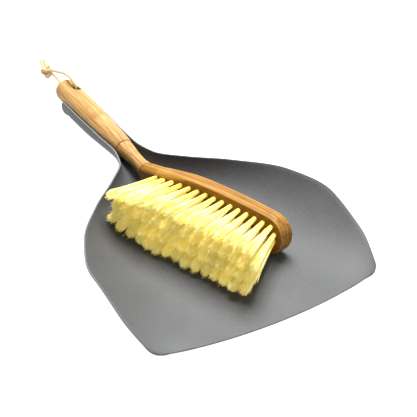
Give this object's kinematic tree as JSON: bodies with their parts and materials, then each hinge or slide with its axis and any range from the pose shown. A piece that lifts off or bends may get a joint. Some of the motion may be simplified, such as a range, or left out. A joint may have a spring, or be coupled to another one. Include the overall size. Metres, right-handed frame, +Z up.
{
  "type": "dust pan and brush set",
  "caption": "Bent steel dust pan whose handle is an open channel, with a bamboo hand brush of natural bristles lying in it and a cord loop for hanging",
  "frame": {"origin": "under the middle of the pan and brush together, on the surface they rest on", "axes": "+Y from the pan's lip towards the handle, +Z up, X across the pan"},
  "size_m": [0.231, 0.4546, 0.0489],
  "materials": {
    "steel": "matte grey powder coat with a fine grain",
    "bamboo": "smooth, lightly waxed laminated bamboo",
    "bristle": "stiff pale natural bristles",
    "cotton": "twisted cotton cord"
  },
  "bodies": {
    "pan": {"pan": "steel"},
    "brush": {"grip": "bamboo", "neck": "bamboo", "head": "bamboo", "tuft_row_1_01": "bristle", "tuft_row_1_02": "bristle", "tuft_row_1_03": "bristle", "tuft_row_1_04": "bristle", "tuft_row_1_05": "bristle", "tuft_row_1_06": "bristle", "tuft_row_1_07": "bristle", "tuft_row_1_08": "bristle", "tuft_row_1_09": "bristle", "tuft_row_1_10": "bristle", "tuft_row_1_11": "bristle", "tuft_row_1_12": "bristle", "tuft_row_1_13": "bristle", "tuft_row_1_14": "bristle", "tuft_row_1_15": "bristle", "tuft_row_2_01": "bristle", "tuft_row_2_02": "bristle", "tuft_row_2_03": "bristle", "tuft_row_2_04": "bristle", "tuft_row_2_05": "bristle", "tuft_row_2_06": "bristle", "tuft_row_2_07": "bristle", "tuft_row_2_08": "bristle", "tuft_row_2_09": "bristle", "tuft_row_2_10": "bristle", "tuft_row_2_11": "bristle", "tuft_row_2_12": "bristle", "tuft_row_2_13": "bristle", "tuft_row_2_14": "bristle", "tuft_row_2_15": "bristle", "tuft_row_4_01": "bristle", "tuft_row_4_02": "bristle", "tuft_row_4_03": "bristle", "tuft_row_4_04": "bristle", "tuft_row_4_05": "bristle", "tuft_row_4_06": "bristle", "tuft_row_4_07": "bristle", "tuft_row_4_08": "bristle", "tuft_row_4_09": "bristle", "tuft_row_4_10": "bristle", "tuft_row_4_11": "bristle", "tuft_row_4_12": "bristle", "tuft_row_4_13": "bristle", "tuft_row_4_14": "bristle", "tuft_row_4_15": "bristle", "tuft_row_3": "bristle"},
    "hang_loop": {"cord_loop": "cotton", "cord_knot": "cotton", "cord_tail_a": "cotton", "cord_tail_b": "cotton"}
  },
  "joints": [
    {"name": "brush_lift", "type": "slide", "parent": "pan", "child": "brush", "axis": [0, 0, 1], "range_m": [0, 0.15]},
    {"name": "cord_swing", "type": "hinge", "parent": "brush", "child": "hang_loop", "pos_m": [-0.0003, 0.1624, 0.0212], "axis": [0, 0, 1], "range_deg": [-15, 15]}
  ]
}
